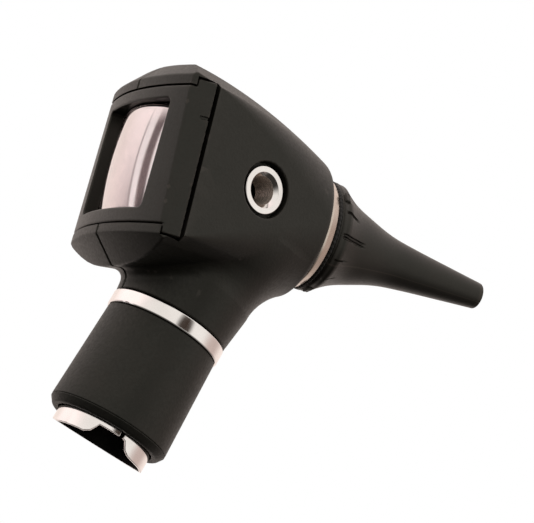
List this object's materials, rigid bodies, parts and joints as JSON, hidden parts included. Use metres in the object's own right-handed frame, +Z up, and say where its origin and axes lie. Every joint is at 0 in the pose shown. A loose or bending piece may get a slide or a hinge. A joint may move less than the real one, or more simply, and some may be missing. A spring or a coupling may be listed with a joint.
{
  "type": "otoscope head",
  "caption": "Otoscope head on a lamp base: two tapering shells, sideways-sliding magnifying lens, side air port, push-on conical speculum and bayonet socket for a handle.",
  "frame": {"origin": "on the handle axis, in the plane where the handle's rim meets the collar's foot", "axes": "+Z up the handle axis; the viewing axis points to +X, 15.7 degrees above the horizontal; the air port is on the -Y side"},
  "size_m": [0.095, 0.0486, 0.0806],
  "materials": {
    "black_plastic": "fine satin texture",
    "carrier_plastic": "satin",
    "speculum_plastic": "satin",
    "chrome": "polished",
    "steel": "brushed",
    "anodised": "black anodised",
    "brass": "turned",
    "nylon": "smooth",
    "rubber": "matt",
    "fibre": "bundled glass fibre, opaque from the side",
    "glass": "clear",
    "lens_glass": "clear, coated"
  },
  "bodies": {
    "base": {"bayonet_ring": "chrome", "collar_foot": "black_plastic", "collar": "black_plastic", "chrome_band": "chrome", "illuminator_tube": "steel", "lamp_socket": "nylon", "lamp_contact": "brass", "lamp_can": "steel", "lamp_bulb": "glass", "lamp_spring": "steel", "lamp_heat_sink": "anodised", "condenser_lens": "glass", "spigot_ring": "steel", "index_pin": "steel"},
    "head": {"left_shell": "black_plastic", "right_shell": "black_plastic", "shell_screws": "steel", "shell_dowels": "steel", "neck_sleeve": "steel", "light_ferrule": "steel", "light_guide": "fibre", "bulkhead": "anodised", "front_ring": "chrome", "nose_cone": "steel", "fibre_cone": "fibre", "view_tube": "anodised", "speculum_retainer": "steel", "port_nipple": "chrome", "port_gasket": "rubber", "port_nut": "steel", "window_gasket": "rubber", "slide_pads": "nylon"},
    "carrier": {"lens_carrier": "carrier_plastic", "lens": "lens_glass", "lens_retainer": "carrier_plastic"},
    "lock": {"lock_ring": "black_plastic", "grip_ring": "rubber"},
    "speculum": {"speculum": "speculum_plastic"}
  },
  "joints": [
    {"name": "head_lift", "type": "slide", "parent": "base", "child": "head", "axis": [0, 0, 1], "range_m": [0, 0.02]},
    {"name": "lens_slide", "type": "slide", "parent": "head", "child": "carrier", "axis": [0, -1, 0], "range_m": [0, 0.03]},
    {"name": "speculum_turn", "type": "hinge", "parent": "head", "child": "lock", "pos_m": [0.0166, 0, 0.0617], "axis": [0.9627, 0, 0.2706], "range_deg": [0, 30]},
    {"name": "speculum_pull", "type": "slide", "parent": "lock", "child": "speculum", "axis": [0.9627, 0, 0.2706], "range_m": [0, 0.03]}
  ]
}
